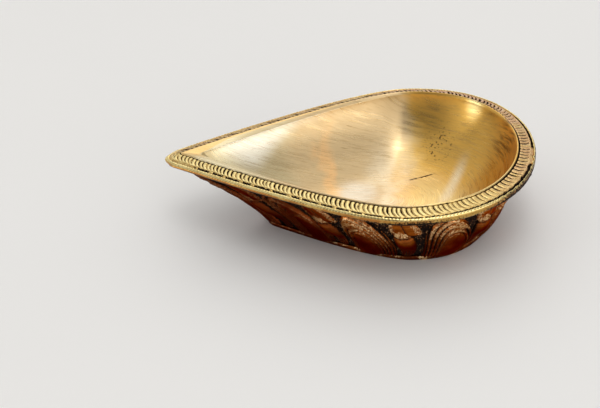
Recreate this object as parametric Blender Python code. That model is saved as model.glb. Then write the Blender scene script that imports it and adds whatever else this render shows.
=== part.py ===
"""Brass diya: a teardrop oil lamp with a chased rim and lotus petals in relief round its body.

Frame: +X runs from the pointed wick end to the round end, +Z is up, and the origin is at the
centre of the length and width on the face that the lamp stands on.
Sizes are in millimetres and become metres where vertices are made.
"""

import math
from dataclasses import dataclass

import bmesh
import bpy
from mathutils import Vector
from mathutils.geometry import interpolate_bezier

MM = 0.001

# Driving dimensions, in millimetres. X is measured here from a point near the bowl's middle.
GROOVE_SHARP_X = -56.1
GROOVE_ROUND_X = 59.8
GROOVE_HALF_WIDTH = 39.3
GROOVE_TIP_RADIUS = 0.6
WIDEST_X = 22.0
RIM_HEIGHT = 28.0
RIM_SLOPE = math.tan(math.radians(15))
LIP_OFFSET = 5.65
LIP_RISE, LIP_SEAT = 0.1, 0.1
LIP_ROUNDING, LIP_INNER_CHAMFER = 0.4, 0.2
TIP_RADIUS_PER_OFFSET = 0.85
GAP = 0.35
SHELL = 1.3

# The crescent band lies in a channel between the crest and the outer lip.
BAND_INNER, BAND_OUTER = 0.35, 4.2
BAND_THICKNESS = 0.8
CHANNEL_DEPTH = BAND_THICKNESS + GAP
CREST_HEIGHT, CREST_WIDTH, CREST_EASE = 0.3, 0.5, 0.1

# The bowl's basin, scaled about its deepest point.
BASIN_SHARP_X = -50.6
BASIN_INSET = 1.4
BASIN_TIP_RADIUS = 2.6
BASIN_EDGE_DROP = 1.0
BASIN_FLOOR = 6.3
BASIN_POLE_X = 14.0
BASIN_FULLNESS = 4.0
BASIN_STEEPNESS = 1.25
BASIN_TIP_EASE = 1.6
BASIN_TIP_ROUNDING = 4.0
BOWL_SIDE_THICKNESS = 0.9
BOWL_FLOOR_THICKNESS = 2.0
BASIN_SHARES = (0.12, 0.3, 0.425, 0.55, 0.675, 0.8, 0.88, 0.94, 0.975, 0.993, 1.0)

# The body's wall goes from under the rim in to the foot.
WALL_TOP_OFFSET = 0.3
WALL_SHARP_X = -57.1
WALL_TIP_RADIUS = 2.5
KEEL_FLARE, KEEL_BULGE = 1.2, 1.6
WALL_TOP = 24.3
WALL_BULGE = 1.18
OUTER_WALL_RINGS, INNER_WALL_RINGS = 9, 6
FOOT_HEIGHT = 1.6
FOOT_PROUD = 0.5
FOOT_SHARP_X, FOOT_ROUND_X = -32.0, 49.5
FOOT_WIDEST_X = 24.0
FOOT_HALF_WIDTH = 27.8
FOOT_TIP_RADIUS = 6.0
FOOT_CHAMFER = 0.4

# Relief on the wall: places are shares of the way round from the tip, levels are shares of
# the way down from the rim to the foot.
RELIEF_STEP = 0.1095
BUDS_EACH_SIDE = 4
PETAL_TOP, PETAL_HALF_SHARE = 0.12, 0.041
BUD_TOP, BUD_HALF_SHARE = 0.34, 0.0135
LEAF_TOP, LEAF_FOOT, LEAF_HALF_SHARE = 0.06, 0.3, 0.019
KEEL_TOP, KEEL_HALF_SHARE = 0.12, 0.046
RELIEF_FOOT = 0.985
PETAL_HEIGHT, BUD_HEIGHT, LEAF_HEIGHT = 1.6, 1.8, 0.8
KEEL_SEAT = 0.55
BUD_WAIST = 0.35
ARCH_POWER = 2.4
ARCH_TOP_TRIM = 0.15
PAD_SIDE_FALL, PAD_SIDE_TUCK = 0.32, 0.05

# Small steps that the wall's slopes are measured over.
PLACE_STEP, LEVEL_STEP = 0.002, 0.01

# Shape of every outline: handle lengths of its two curves, and how wide the tip opens.
ROUND_HANDLE_X, ROUND_HANDLE_Y = 0.36, 0.524
SIDE_HANDLE_WIDE, SIDE_HANDLE_TIP = 0.20, 0.34
TIP_FLARE = 1.29
ROUND_STEPS, SIDE_STEPS, TIP_STEPS = 11, 15, 4


@dataclass
class Outline:
    """A teardrop: sharp_x is where its two sides would meet if the tip weren't rounded."""

    sharp_x: float
    wide_x: float
    round_x: float
    half_width: float
    tip_radius: float

    def tip_angle(self):
        return math.atan(TIP_FLARE * self.half_width / (self.wide_x - self.sharp_x))

    def tip_x(self):
        return self.sharp_x + self.tip_radius * (1 / math.sin(self.tip_angle()) - 1)

    def half(self):
        """Points of the side at +Y, from the round end to the tip."""
        angle = self.tip_angle()
        along = Vector((math.cos(angle), math.sin(angle)))
        wide = Vector((self.wide_x, self.half_width))
        tangent = Vector((self.sharp_x, 0)) + along * self.tip_radius / math.tan(angle)
        length = self.wide_x - self.sharp_x
        reach = self.round_x - self.wide_x
        round_end = interpolate_bezier(
            (self.round_x, 0),
            (self.round_x, self.half_width * ROUND_HANDLE_Y),
            wide + Vector((reach * (1 - ROUND_HANDLE_X), 0)),
            wide,
            ROUND_STEPS + 1,
        )
        side = interpolate_bezier(
            wide,
            wide - Vector((length * SIDE_HANDLE_WIDE, 0)),
            tangent + along * length * SIDE_HANDLE_TIP,
            tangent,
            SIDE_STEPS + 1,
        )
        centre = Vector((self.sharp_x + self.tip_radius / math.sin(angle), 0))
        turns = [
            math.pi / 2 + angle + (math.pi / 2 - angle) * i / TIP_STEPS
            for i in range(1, TIP_STEPS + 1)
        ]
        tip = [
            centre + Vector((math.cos(turn), math.sin(turn))) * self.tip_radius
            for turn in turns
        ]
        return [Vector(p).to_2d() for p in round_end[:-1] + side] + tip

    def ring(self, z):
        """The whole outline at height z, from the tip along the -Y side, round and back."""
        half = self.half()
        near = [(p.x, -p.y, z) for p in reversed(half)]
        far = [(p.x, p.y, z) for p in half[1:-1]]
        return [Vector(p) for p in near + far]

    def grown(self, amount):
        """The outline moved out by this amount, with its tip kept the same shape."""
        return Outline(
            self.sharp_x - amount / math.sin(self.tip_angle()),
            self.wide_x,
            self.round_x + amount,
            self.half_width + amount,
            self.tip_radius,
        )

    def blend(self, other, share, tip_share):
        """The outline this share of the way to the other one, or tip_share of it at the tip."""

        def between(name, part):
            start = getattr(self, name)
            return start + (getattr(other, name) - start) * part

        return Outline(
            between("sharp_x", tip_share),
            between("wide_x", share),
            between("round_x", share),
            between("half_width", share),
            between("tip_radius", share),
        )


GROOVE = Outline(
    GROOVE_SHARP_X, WIDEST_X, GROOVE_ROUND_X, GROOVE_HALF_WIDTH, GROOVE_TIP_RADIUS
)


def rim_outline(offset):
    """The rim's outline, offset outward from the inner groove."""
    outline = GROOVE.grown(offset)
    outline.tip_radius = max(outline.tip_radius + TIP_RADIUS_PER_OFFSET * offset, 0.1)
    return outline


def rim_z(offset):
    """Height of the rim's sloping top face."""
    return RIM_HEIGHT - RIM_SLOPE * offset


LIP_EDGE = rim_outline(LIP_OFFSET)
CENTRE_X = (LIP_EDGE.round_x + LIP_EDGE.tip_x()) / 2
BASIN_EDGE = Outline(
    BASIN_SHARP_X,
    WIDEST_X,
    GROOVE_ROUND_X - BASIN_INSET,
    GROOVE_HALF_WIDTH - BASIN_INSET,
    BASIN_TIP_RADIUS,
)
WALL_TOP_OUTLINE = Outline(
    WALL_SHARP_X,
    WIDEST_X,
    GROOVE_ROUND_X + WALL_TOP_OFFSET,
    GROOVE_HALF_WIDTH + WALL_TOP_OFFSET,
    WALL_TIP_RADIUS,
)
FOOT_OUTLINE = Outline(
    FOOT_SHARP_X, FOOT_WIDEST_X, FOOT_ROUND_X, FOOT_HALF_WIDTH, FOOT_TIP_RADIUS
)


def dish_ring(edge, depth, share):
    """A ring of a basin that hangs from the edge outline, scaled by share about its pole."""
    tip_share = share**BASIN_TIP_EASE
    outline = Outline(
        BASIN_POLE_X + (edge.sharp_x - BASIN_POLE_X) * tip_share,
        BASIN_POLE_X + (edge.wide_x - BASIN_POLE_X) * share,
        BASIN_POLE_X + (edge.round_x - BASIN_POLE_X) * share,
        edge.half_width * share,
        edge.tip_radius * share + BASIN_TIP_ROUNDING * (1 - share) * share,
    )
    drop = depth * (1 - share**BASIN_FULLNESS) ** (1 / BASIN_STEEPNESS)
    return outline.ring(RIM_HEIGHT - BASIN_EDGE_DROP - drop)


def wall_ring(level, inset=0.0):
    """A ring of the wall: level 0 is under the rim and 1 is at the foot."""
    share = 1 - (1 - level**WALL_BULGE) ** (1 / WALL_BULGE)
    tip_share = 1 - (1 - level**KEEL_FLARE) ** KEEL_BULGE
    top = WALL_TOP_OUTLINE.grown(-inset)
    outline = top.blend(FOOT_OUTLINE.grown(-inset), share, tip_share)
    bottom = FOOT_HEIGHT + GAP
    return outline.ring(WALL_TOP + (bottom - WALL_TOP) * level)


def point_on_ring(ring, place):
    """The point this share of the way round a ring."""
    closed = ring + ring[:1]
    steps = [(b - a).length for a, b in zip(closed, closed[1:])]
    travel = place % 1.0 * sum(steps)
    for start, end, step in zip(closed, closed[1:], steps):
        if travel <= step:
            return start.lerp(end, travel / step)
        travel -= step
    return closed[-1]


def wall_point(place, level, height):
    """A point this far off the wall, square to it."""
    upper = level < 0.5
    here = point_on_ring(wall_ring(level), place)
    beside = point_on_ring(wall_ring(level), place + PLACE_STEP)
    other_level = level + LEVEL_STEP if upper else level - LEVEL_STEP
    other = point_on_ring(wall_ring(other_level), place)
    down = other - here if upper else here - other
    return here + down.cross(beside - here).normalized() * height


# ---------------------------------------------------------------- scene and materials


def clear_scene():
    for obj in list(bpy.data.objects):
        bpy.data.objects.remove(obj)


def make_material(name, colour, roughness):
    material = bpy.data.materials.new(name)
    material.use_nodes = True
    shader = material.node_tree.nodes["Principled BSDF"]
    shader.inputs["Base Color"].default_value = (*colour, 1)
    shader.inputs["Roughness"].default_value = roughness
    shader.inputs["Metallic"].default_value = 1.0
    return material


def add_object(name, bm, material, collection):
    """Makes a smooth-shaded object of the bmesh, whose vertices are in millimetres."""
    for vertex in bm.verts:
        vertex.co = (vertex.co - Vector((CENTRE_X, 0, 0))) * MM
    bmesh.ops.recalc_face_normals(bm, faces=bm.faces)
    mesh = bpy.data.meshes.new(name)
    bm.to_mesh(mesh)
    bm.free()
    mesh.shade_smooth()
    mesh.set_sharp_from_angle(angle=math.radians(30))
    mesh.materials.append(material)
    obj = bpy.data.objects.new(name, mesh)
    collection.objects.link(obj)
    return obj


def loft(rings, cyclic):
    """A closed body through the rings. Cyclic joins the last ring to the first, as on a hoop."""
    bm = bmesh.new()
    rows = [[bm.verts.new(p) for p in ring] for ring in rings]
    pairs = list(zip(rows, rows[1:] + rows[:1])) if cyclic else list(zip(rows, rows[1:]))
    for row, after in pairs:
        for i in range(len(row)):
            j = (i + 1) % len(row)
            bm.faces.new((row[i], row[j], after[j], after[i]))
    if not cyclic:
        bm.faces.new(rows[0])
        bm.faces.new(rows[-1])
    return bm


def spaced(first, last, count):
    return [first + (last - first) * i / (count - 1) for i in range(count)]


# ---------------------------------------------------------------- the lamp's pieces


def bowl_rings():
    """Down the basin from a small ring at its pole, up to the crest, round the flange and under."""
    inside_depth = RIM_HEIGHT - BASIN_EDGE_DROP - BASIN_FLOOR
    inside = [dish_ring(BASIN_EDGE, inside_depth, share) for share in BASIN_SHARES]
    crest = rim_outline(-CREST_WIDTH).ring(RIM_HEIGHT + CREST_HEIGHT)
    groove_wall = [
        rim_outline(-CREST_EASE).ring(RIM_HEIGHT + CREST_HEIGHT / 2),
        rim_outline(0.0).ring(rim_z(0.0) - CHANNEL_DEPTH),
    ]
    flange_edge = rim_outline(BAND_OUTER)
    edge_z = rim_z(BAND_OUTER) - CHANNEL_DEPTH
    under_z = WALL_TOP + GAP
    flange = [flange_edge.ring(edge_z), flange_edge.ring(under_z)]
    outside_edge = BASIN_EDGE.grown(BOWL_SIDE_THICKNESS)
    outside_depth = inside_depth + BOWL_FLOOR_THICKNESS
    outside = [dish_ring(outside_edge, outside_depth, share) for share in BASIN_SHARES]
    under = [ring for ring in reversed(outside) if ring[0].z < under_z - GAP]
    neck = [Vector((p.x, p.y, under_z)) for p in under[0]]
    return inside + [crest] + groove_wall + flange + [neck] + under


def band_rings():
    corners = (
        (BAND_INNER, 0),
        (BAND_OUTER, 0),
        (BAND_OUTER, BAND_THICKNESS),
        (BAND_INNER, BAND_THICKNESS),
    )
    return [rim_outline(out).ring(rim_z(out) - down) for out, down in corners]


def lip_rings():
    """The polished moulding round the rim: a sloping top, a rounded edge and a flat underside."""
    inner = BAND_OUTER + GAP
    top = rim_z(inner) + LIP_RISE
    bottom = WALL_TOP + LIP_SEAT
    shoulder = LIP_OFFSET - LIP_ROUNDING
    profile = (
        (inner, bottom),
        (inner, top - LIP_INNER_CHAMFER),
        (inner + LIP_INNER_CHAMFER, top),
        (shoulder, top - LIP_ROUNDING / 2),
        (LIP_OFFSET - LIP_ROUNDING / 4, top - LIP_ROUNDING * 1.5),
        (LIP_OFFSET, top - LIP_ROUNDING * 2.5),
        (LIP_OFFSET, bottom + LIP_ROUNDING * 1.5),
        (shoulder, bottom + LIP_SEAT),
    )
    return [rim_outline(out).ring(z) for out, z in profile]


def wall_rings():
    outer = [wall_ring(level) for level in spaced(0, 1, OUTER_WALL_RINGS)]
    inner = [wall_ring(level, SHELL) for level in spaced(1, 0, INNER_WALL_RINGS)]
    return outer + inner


def foot_rings():
    proud = FOOT_OUTLINE.grown(FOOT_PROUD)
    inset = proud.grown(-FOOT_CHAMFER)
    return [
        inset.ring(0),
        proud.ring(FOOT_CHAMFER),
        proud.ring(FOOT_HEIGHT - FOOT_CHAMFER),
        inset.ring(FOOT_HEIGHT),
    ]


def relief_patch(place, top, foot, half_share, height, waist, across=6, rows=7, seat=GAP):
    """A raised arch on the wall: an open patch of the wall's surface, made a closed pad.

    The arch is half_share wide at its foot and closes at its top. Waist narrows the foot, and
    seat is how far the pad's back stands off the wall.
    """
    bm = bmesh.new()
    layers = {seat: [], height: []}
    for row in range(rows):
        climb = (rows - 1 - row) / (rows - 1 + ARCH_TOP_TRIM)
        level = foot + (top - foot) * climb
        width = half_share * (1 - climb**ARCH_POWER) ** 0.5
        width *= 1 - waist * (1 - climb) ** 2
        for off, grid in layers.items():
            shares = spaced(-1, 1, across + 1)
            front = 1.0 if off == height else 0.0
            grid.append(
                [
                    bm.verts.new(
                        wall_point(
                            place + width * share * (1 - PAD_SIDE_TUCK * front),
                            level,
                            off - PAD_SIDE_FALL * front * share**2 * height,
                        )
                    )
                    for share in shares
                ]
            )
    inner, outer = layers[seat], layers[height]
    for r in range(rows - 1):
        for c in range(across):
            for grid in (inner, outer):
                bm.faces.new(
                    (grid[r][c], grid[r][c + 1], grid[r + 1][c + 1], grid[r + 1][c])
                )
    border = (
        [(0, c) for c in range(across)]
        + [(r, across) for r in range(rows - 1)]
        + [(rows - 1, c) for c in range(across, 0, -1)]
        + [(r, 0) for r in range(rows - 1, 0, -1)]
    )
    for (r0, c0), (r1, c1) in zip(border, border[1:] + border[:1]):
        bm.faces.new((inner[r0][c0], inner[r1][c1], outer[r1][c1], outer[r0][c0]))
    return bm


def numbered(kind, number):
    return f"{kind}_{number:02d}"


def build():
    clear_scene()
    lamp = bpy.data.collections.new("diya_oil_lamp")
    bpy.context.scene.collection.children.link(lamp)
    polished = make_material("polished_brass", (0.83, 0.62, 0.28), 0.22)
    brushed = make_material("brushed_brass", (0.80, 0.62, 0.32), 0.35)
    chased = make_material("chased_brass", (0.74, 0.55, 0.26), 0.4)
    antique = make_material("antique_brass", (0.45, 0.20, 0.08), 0.45)

    add_object("bowl", loft(bowl_rings(), cyclic=False), brushed, lamp)
    add_object("crescent_band", loft(band_rings(), cyclic=True), chased, lamp)
    add_object("outer_lip", loft(lip_rings(), cyclic=True), polished, lamp)
    add_object("body_wall", loft(wall_rings(), cyclic=True), antique, lamp)
    add_object("foot_plate", loft(foot_rings(), cyclic=False), antique, lamp)

    bud_places = [
        0.5 + RELIEF_STEP * i for i in range(-BUDS_EACH_SIDE, BUDS_EACH_SIDE + 1)
    ]
    petal_places = [place + RELIEF_STEP / 2 for place in bud_places[:-1]]
    for number, place in enumerate(petal_places, 1):
        pad = relief_patch(
            place, PETAL_TOP, RELIEF_FOOT, PETAL_HALF_SHARE, PETAL_HEIGHT, 0.0
        )
        add_object(numbered("lotus_petal", number), pad, antique, lamp)
    for number, place in enumerate(bud_places, 1):
        pad = relief_patch(
            place, BUD_TOP, RELIEF_FOOT, BUD_HALF_SHARE, BUD_HEIGHT, BUD_WAIST, 4, 6
        )
        add_object(numbered("lotus_bud", number), pad, antique, lamp)
        pad = relief_patch(
            place, LEAF_TOP, LEAF_FOOT, LEAF_HALF_SHARE, LEAF_HEIGHT, 0.0, 4, 4
        )
        add_object(numbered("back_leaf", number), pad, antique, lamp)
    keel = relief_patch(
        0.0,
        KEEL_TOP,
        RELIEF_FOOT,
        KEEL_HALF_SHARE,
        PETAL_HEIGHT,
        waist=0.0,
        across=14,
        rows=8,
        seat=KEEL_SEAT,
    )
    add_object("keel_petal", keel, antique, lamp)


build()
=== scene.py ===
import math
from dataclasses import astuple, dataclass, replace

import bpy
import numpy as np
from mathutils import Matrix, Vector


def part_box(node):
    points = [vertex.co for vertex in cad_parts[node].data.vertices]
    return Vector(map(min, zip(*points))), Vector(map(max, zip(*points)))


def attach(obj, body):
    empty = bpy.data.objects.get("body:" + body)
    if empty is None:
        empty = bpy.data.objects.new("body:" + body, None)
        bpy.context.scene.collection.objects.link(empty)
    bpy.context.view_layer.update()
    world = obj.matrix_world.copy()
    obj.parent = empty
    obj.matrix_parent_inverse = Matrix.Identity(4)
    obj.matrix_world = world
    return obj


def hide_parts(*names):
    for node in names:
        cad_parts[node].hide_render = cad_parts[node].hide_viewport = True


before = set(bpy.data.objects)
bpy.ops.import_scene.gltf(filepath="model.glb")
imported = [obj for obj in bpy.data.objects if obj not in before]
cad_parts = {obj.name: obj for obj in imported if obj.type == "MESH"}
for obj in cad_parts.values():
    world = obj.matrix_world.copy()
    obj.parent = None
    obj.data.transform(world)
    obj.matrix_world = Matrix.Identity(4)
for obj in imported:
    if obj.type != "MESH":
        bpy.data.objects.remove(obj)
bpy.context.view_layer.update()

# The looks of a brass diya: a brushed basin, a chased crescent band, a polished lip and lotus
# petals in relief. Sizes are in millimetres, with x measured as in the CAD, and become metres
# in the row frame where meshes are made. Every outline is a teardrop worked out from the rim's.

MM = 0.001

# ---------------- driving dimensions

GROOVE_SHARP_X, GROOVE_ROUND_X = -56.1, 59.8
GROOVE_HALF_WIDTH, GROOVE_TIP_RADIUS = 39.3, 0.6
WIDEST_X = 22.0
RIM_HEIGHT = 28.0
RIM_SLOPE = math.tan(math.radians(15))
TIP_RADIUS_PER_OFFSET = 0.85
RIM_BASE_OFFSET, LIP_OFFSET = 2.2, 5.65
TIP_PINCH, TIP_PINCH_LENGTH = 0.42, 4.5
CREST_HEIGHT = 0.3
TIP_FLARE = 1.29
ROUND_HANDLE_X, ROUND_HANDLE_Y = 0.36, 0.524
SIDE_HANDLE_WIDE, SIDE_HANDLE_TIP = 0.20, 0.34

BASIN_SHARP_X, BASIN_INSET, BASIN_TIP_RADIUS = -50.6, 1.4, 2.6
BASIN_EDGE_DROP, BASIN_FLOOR = 0.55, 6.3
BASIN_POLE_X = 14.0
BASIN_FULLNESS, BASIN_STEEPNESS, BASIN_TIP_EASE = 4.0, 1.25, 1.6
BASIN_TIP_ROUNDING = 4.0
SIDE_THICKNESS, FLOOR_THICKNESS, SHELL = 0.9, 2.0, 1.3
FLANGE_OFFSET, CHANNEL_DEPTH, UNDER_GAP = 4.2, 1.15, 0.35

WALL_SHARP_X, WALL_TIP_RADIUS, WALL_TOP_OFFSET = -57.1, 2.5, 0.3
WALL_TOP = 24.3
WALL_BULGE = 1.18
KEEL_FLARE, KEEL_BULGE = 1.2, 1.6
WALL_FOOT = 1.95
FOOT_SHARP_X, FOOT_ROUND_X, FOOT_WIDEST_X = -32.0, 49.5, 24.0
FOOT_HALF_WIDTH, FOOT_TIP_RADIUS, FOOT_PROUD = 27.8, 6.0, 0.5

RELIEF_STEP = 0.1095
BUDS_EACH_SIDE = 4

CURVE_STEPS, ARC_STEPS = 90, 33

# The row frame's origin, in the outlines' own x.
CENTRE_X = GROOVE_ROUND_X + LIP_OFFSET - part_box("outer_lip")[1].x / MM


# ---------------- outlines


def bezier(start, handle_a, handle_b, end):
    """Points along a cubic curve, without its last one."""
    t = (np.arange(CURVE_STEPS) / CURVE_STEPS)[:, None]
    corners = [np.array(p, float) for p in (start, handle_a, handle_b, end)]
    weights = ((1 - t) ** 3, 3 * t * (1 - t) ** 2, 3 * t * t * (1 - t), t**3)
    return sum(weight * corner for weight, corner in zip(weights, corners))


@dataclass
class Outline:
    """A teardrop: sharp_x is where its two sides would meet if the tip weren't rounded."""

    sharp_x: float
    wide_x: float
    round_x: float
    half_width: float
    tip_radius: float

    def tip_angle(self):
        return math.atan(TIP_FLARE * self.half_width / (self.wide_x - self.sharp_x))

    def loop(self):
        """The closed outline as points, from the tip along the -Y side, round and back."""
        angle = self.tip_angle()
        along = np.array((math.cos(angle), math.sin(angle)))
        wide = np.array((self.wide_x, self.half_width))
        tangent = np.array((self.sharp_x, 0)) + along * self.tip_radius / math.tan(angle)
        length = self.wide_x - self.sharp_x
        reach = self.round_x - self.wide_x
        handle_a = (self.round_x, self.half_width * ROUND_HANDLE_Y)
        handle_b = wide + (reach * (1 - ROUND_HANDLE_X), 0)
        round_end = bezier((self.round_x, 0), handle_a, handle_b, wide)
        handle_a = wide - (length * SIDE_HANDLE_WIDE, 0)
        handle_b = tangent + along * length * SIDE_HANDLE_TIP
        side = bezier(wide, handle_a, handle_b, tangent)
        turns = np.linspace(math.pi / 2 + angle, math.pi, ARC_STEPS)[:, None]
        centre = (self.sharp_x + self.tip_radius / math.sin(angle), 0)
        tip = centre + np.hstack((np.cos(turns), np.sin(turns))) * self.tip_radius
        far = np.vstack((round_end, side, tip))
        near = far[::-1] * (1, -1)
        return np.vstack((near, far[1:]))

    def at(self, places, z):
        """Points of the outline at height z, at these shares of the way round from the tip."""
        loop = self.loop()
        steps = np.hypot(*np.diff(loop, axis=0).T)
        travel = np.concatenate(([0], np.cumsum(steps)))
        wanted = np.mod(places, 1.0) * travel[-1]
        x = np.interp(wanted, travel, loop[:, 0])
        y = np.interp(wanted, travel, loop[:, 1])
        return np.stack((x, y, np.broadcast_to(z, x.shape)), axis=-1)

    def length(self):
        return np.hypot(*np.diff(self.loop(), axis=0).T).sum()

    def grown(self, amount):
        return replace(
            self,
            sharp_x=self.sharp_x - amount / math.sin(self.tip_angle()),
            round_x=self.round_x + amount,
            half_width=self.half_width + amount,
        )

    def blend(self, other, share, tip_share):
        """This share of the way to the other outline, or tip_share of it at the tip."""
        shares = (tip_share, share, share, share, share)
        pairs = zip(astuple(self), astuple(other), shares)
        return Outline(*(here + (there - here) * part for here, there, part in pairs))


GROOVE = Outline(
    GROOVE_SHARP_X, WIDEST_X, GROOVE_ROUND_X, GROOVE_HALF_WIDTH, GROOVE_TIP_RADIUS
)
BASIN_EDGE = Outline(
    BASIN_SHARP_X,
    WIDEST_X,
    GROOVE_ROUND_X - BASIN_INSET,
    GROOVE_HALF_WIDTH - BASIN_INSET,
    BASIN_TIP_RADIUS,
)
BASIN_POLE = Outline(BASIN_POLE_X, BASIN_POLE_X, BASIN_POLE_X, 0.0, 0.0)
WALL_TOP_OUTLINE = Outline(
    WALL_SHARP_X,
    WIDEST_X,
    GROOVE_ROUND_X + WALL_TOP_OFFSET,
    GROOVE_HALF_WIDTH + WALL_TOP_OFFSET,
    WALL_TIP_RADIUS,
)
FOOT_OUTLINE = Outline(
    FOOT_SHARP_X, FOOT_WIDEST_X, FOOT_ROUND_X, FOOT_HALF_WIDTH, FOOT_TIP_RADIUS
)


def rim_outline(offset):
    """The rim's outline, offset outward from the inner groove."""
    radius = max(GROOVE_TIP_RADIUS + TIP_RADIUS_PER_OFFSET * offset, 0.1)
    return replace(GROOVE.grown(offset), tip_radius=radius)


def rim_z(offset):
    """Height of the rim's sloping top face."""
    return RIM_HEIGHT - RIM_SLOPE * offset


def dish_outline(edge, depth, share):
    """A ring of a basin that hangs from its edge, and its height."""
    outline = BASIN_POLE.blend(edge, share, share**BASIN_TIP_EASE)
    outline.tip_radius += BASIN_TIP_ROUNDING * (1 - share) * share
    drop = depth * (1 - share**BASIN_FULLNESS) ** (1 / BASIN_STEEPNESS)
    return outline, RIM_HEIGHT - BASIN_EDGE_DROP - drop


def wall_outline(level, inset=0.0):
    """A ring of the body's wall, and its height: level 0 is under the rim, 1 at the foot."""
    share = 1 - (1 - level**WALL_BULGE) ** (1 / WALL_BULGE)
    tip_share = 1 - (1 - level**KEEL_FLARE) ** KEEL_BULGE
    top = WALL_TOP_OUTLINE.grown(-inset)
    outline = top.blend(FOOT_OUTLINE.grown(-inset), share, tip_share)
    return outline, WALL_TOP + (WALL_FOOT - WALL_TOP) * level


RIM_BASE = rim_outline(RIM_BASE_OFFSET)
RIM_LENGTH = RIM_BASE.length()
LIP_TIP_X = rim_outline(LIP_OFFSET).loop()[:, 0].min()


def rim_points(places, offsets, heights):
    """Points of the rim at these places, offsets from the inner groove and heights.

    The rim is pinched at its tip, where the offset curves alone would be too blunt.
    """
    step = 0.0004
    along = RIM_BASE.at(places + step, 0.0) - RIM_BASE.at(places - step, 0.0)
    along /= np.linalg.norm(along, axis=-1, keepdims=True)
    outward = np.stack((along[..., 1], -along[..., 0], along[..., 2]), axis=-1)
    points = RIM_BASE.at(places, 0.0) + outward * (offsets - RIM_BASE_OFFSET)[..., None]
    points[..., 2] = heights
    from_tip = points[..., 0] - LIP_TIP_X
    points[..., 1] *= 1 - TIP_PINCH * (1 - smooth(from_tip, 0, TIP_PINCH_LENGTH))
    return points


def wall_points(places, levels, heights):
    """Points this far off the wall, for rows of places with one level for each row."""
    step = 0.002
    points = np.empty(places.shape + (3,))
    for row, level in enumerate(levels):
        outline, z = wall_outline(level)
        here = outline.at(places[row], z)
        along = outline.at(places[row] + step, z) - outline.at(places[row] - step, z)
        toward = 1 if level < 0.5 else -1
        other, other_z = wall_outline(level + toward * step)
        down = (other.at(places[row], other_z) - here) * toward
        outward = np.cross(down, along)
        outward /= np.linalg.norm(outward, axis=-1, keepdims=True)
        points[row] = here + outward * heights[row][:, None]
    return points


# ---------------- small helpers


def smooth(value, low, high):
    """0 below low, 1 above high and a smooth step between."""
    t = np.clip((value - low) / (high - low), 0, 1)
    return t * t * (3 - 2 * t)


def between(value, low, full, falling, end):
    """0 up to low, 1 from full to falling and 0 again after the end."""
    return smooth(value, low, full) * (1 - smooth(value, falling, end))


def bump_at(value, centre, width):
    """A smooth hump of height 1 round a centre."""
    return np.exp(-(((value - centre) / width) ** 2))


def wobble(turn, waves, seed, strongest=1):
    """A smooth random closed wave of height about 1, with waves between strongest and waves."""
    rng = np.random.default_rng(seed)
    total = np.zeros_like(turn)
    for _ in range(8):
        cycles = rng.integers(strongest, waves + 1)
        total = total + np.sin(2 * np.pi * (cycles * turn + rng.random()))
    return total / 4


def places_round(count, tip_crowding=0.0):
    """Shares of the way round a ring, closer together at its tip by this much."""
    turn = np.arange(count) / count
    return turn - tip_crowding * np.sin(2 * np.pi * turn) / (2 * np.pi)


# ---------------- meshes


def add_object(name, data):
    made = bpy.data.objects.new(name, data)
    bpy.context.scene.collection.objects.link(made)
    return made


def ring_quads(rows, columns, cyclic):
    """Corner numbers of the quads that join each ring to the next."""
    row, column = np.meshgrid(
        np.arange(rows if cyclic else rows - 1), np.arange(columns), indexing="ij"
    )
    after, beside = (row + 1) % rows, (column + 1) % columns
    corners = ((row, column), (row, beside), (after, beside), (after, column))
    return np.stack([r * columns + c for r, c in corners], axis=-1).reshape(-1, 4)


def outward_faces(points, quads, others):
    """The faces as lists, turned so that their normals point out of the closed body."""
    corner = points[quads]
    volume = np.einsum("ij,ij->i", corner[:, 0], np.cross(corner[:, 1], corner[:, 2]))
    volume += np.einsum("ij,ij->i", corner[:, 0], np.cross(corner[:, 2], corner[:, 3]))
    flip = -1 if volume.sum() < 0 else 1
    return [face[::flip] for face in quads.tolist() + others], flip


def make_piece(name, points, quads, others, material, nodes, marks, quad_uv=None):
    """A closed piece of the lamp that stands for these CAD nodes.

    Marks are attributes, one value for each point, that the material reads. Quad_uv holds
    a place in millimetres along and across the grain for each corner of each quad.
    """
    faces, flip = outward_faces(points, quads, others)
    mesh = bpy.data.meshes.new(name)
    mesh.from_pydata(((points - (CENTRE_X, 0, 0)) * MM).tolist(), [], faces)
    for mark, values in marks.items():
        kind, field = ("FLOAT_VECTOR", "vector") if values.ndim == 2 else ("FLOAT", "value")
        attribute = mesh.attributes.new(mark, kind, "POINT")
        attribute.data.foreach_set(field, values.astype(np.float32).ravel())
    if quad_uv is not None:
        layer = mesh.uv_layers.new(name="grain_map")
        uv = np.zeros((len(mesh.loops), 2), np.float32)
        uv[: quads.size] = quad_uv[:, ::flip].reshape(-1, 2)
        layer.data.foreach_set("uv", uv.ravel())
    mesh.shade_smooth()
    mesh.materials.append(material)
    mesh.validate()
    piece = add_object(name, mesh)
    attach(piece, "root")
    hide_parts(*nodes)
    return piece


def loft(name, rings, cyclic, material, nodes, marks, ring_uv=None):
    """A piece through closed rings, capped at both ends unless cyclic joins them.

    Marks hold a row of values for each ring.
    """
    rows, columns = rings.shape[:2]
    quads = ring_quads(rows, columns, cyclic)
    caps = []
    if not cyclic:
        last = (rows - 1) * columns
        caps = [list(range(columns))[::-1], list(range(last, last + columns))]
    quad_uv = None
    if ring_uv is not None:
        here, below = ring_uv, np.roll(ring_uv, -1, axis=0)
        if not cyclic:
            here, below = here[:-1], below[:-1]
        corners = (here[:, :-1], here[:, 1:], below[:, 1:], below[:, :-1])
        quad_uv = np.stack(corners, axis=2).reshape(-1, 4, 2)
    flat = {mark: np.concatenate(values) for mark, values in marks.items()}
    points = rings.reshape(-1, 3)
    return make_piece(name, points, quads, caps, material, nodes, flat, quad_uv)


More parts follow.
